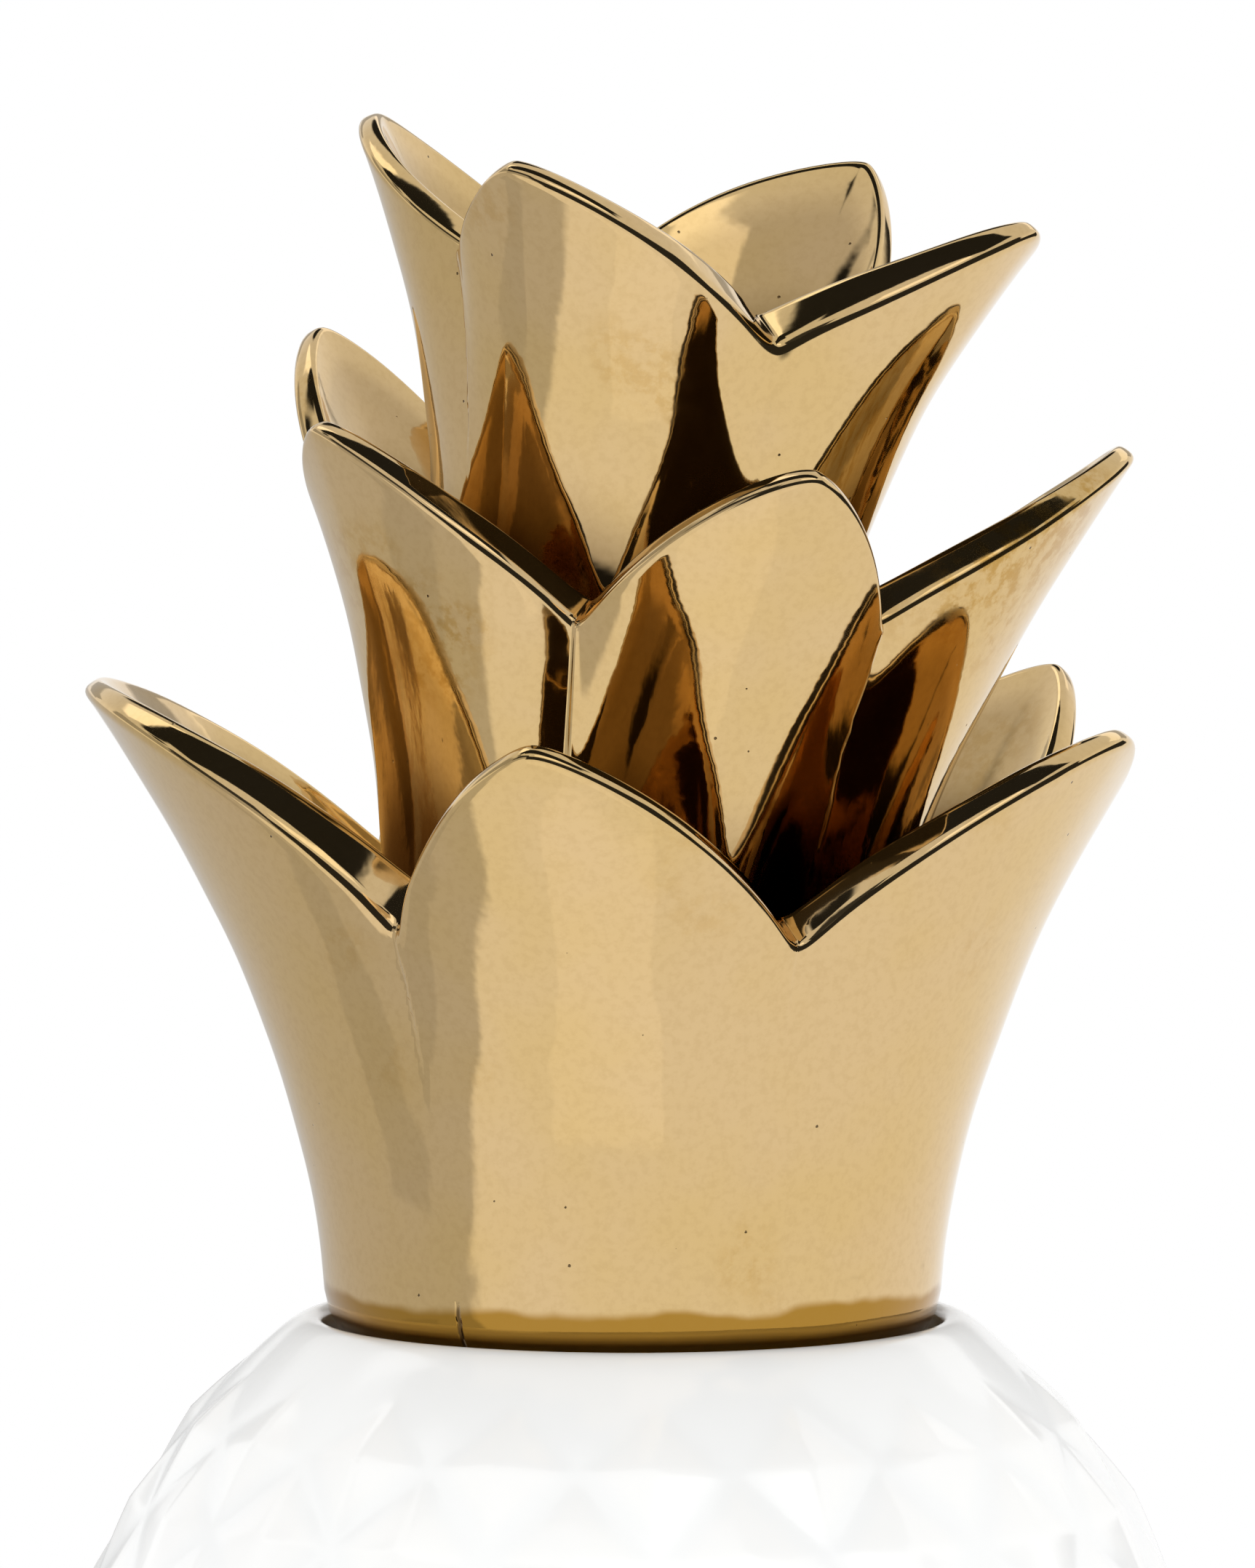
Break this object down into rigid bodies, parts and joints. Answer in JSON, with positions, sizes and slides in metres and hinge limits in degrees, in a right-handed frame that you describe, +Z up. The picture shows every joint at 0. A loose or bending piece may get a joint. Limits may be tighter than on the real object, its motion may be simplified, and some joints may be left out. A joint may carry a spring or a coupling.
{
  "type": "ceramic pineapple jar with leaf-crown lid",
  "caption": "Lidded ceramic jar shaped as a pineapple: white glazed body with a net of raised diamonds, and a lift-off gold lustre crown of nested leaves.",
  "frame": {"origin": "centre of the jar's foot, on the surface it stands on", "axes": "+Z up the jar's axis; the pictured side faces -Y, and the upper leaf tiers lean towards +X"},
  "size_m": [0.1202, 0.1194, 0.2395],
  "materials": {
    "white_glaze": "clear gloss glaze over white body",
    "gold_lustre": "mirror gold lustre over glaze, fine specks and worn patches"
  },
  "bodies": {
    "root": {"jar_body": "white_glaze", "crown_lid": "gold_lustre"}
  },
  "joints": []
}
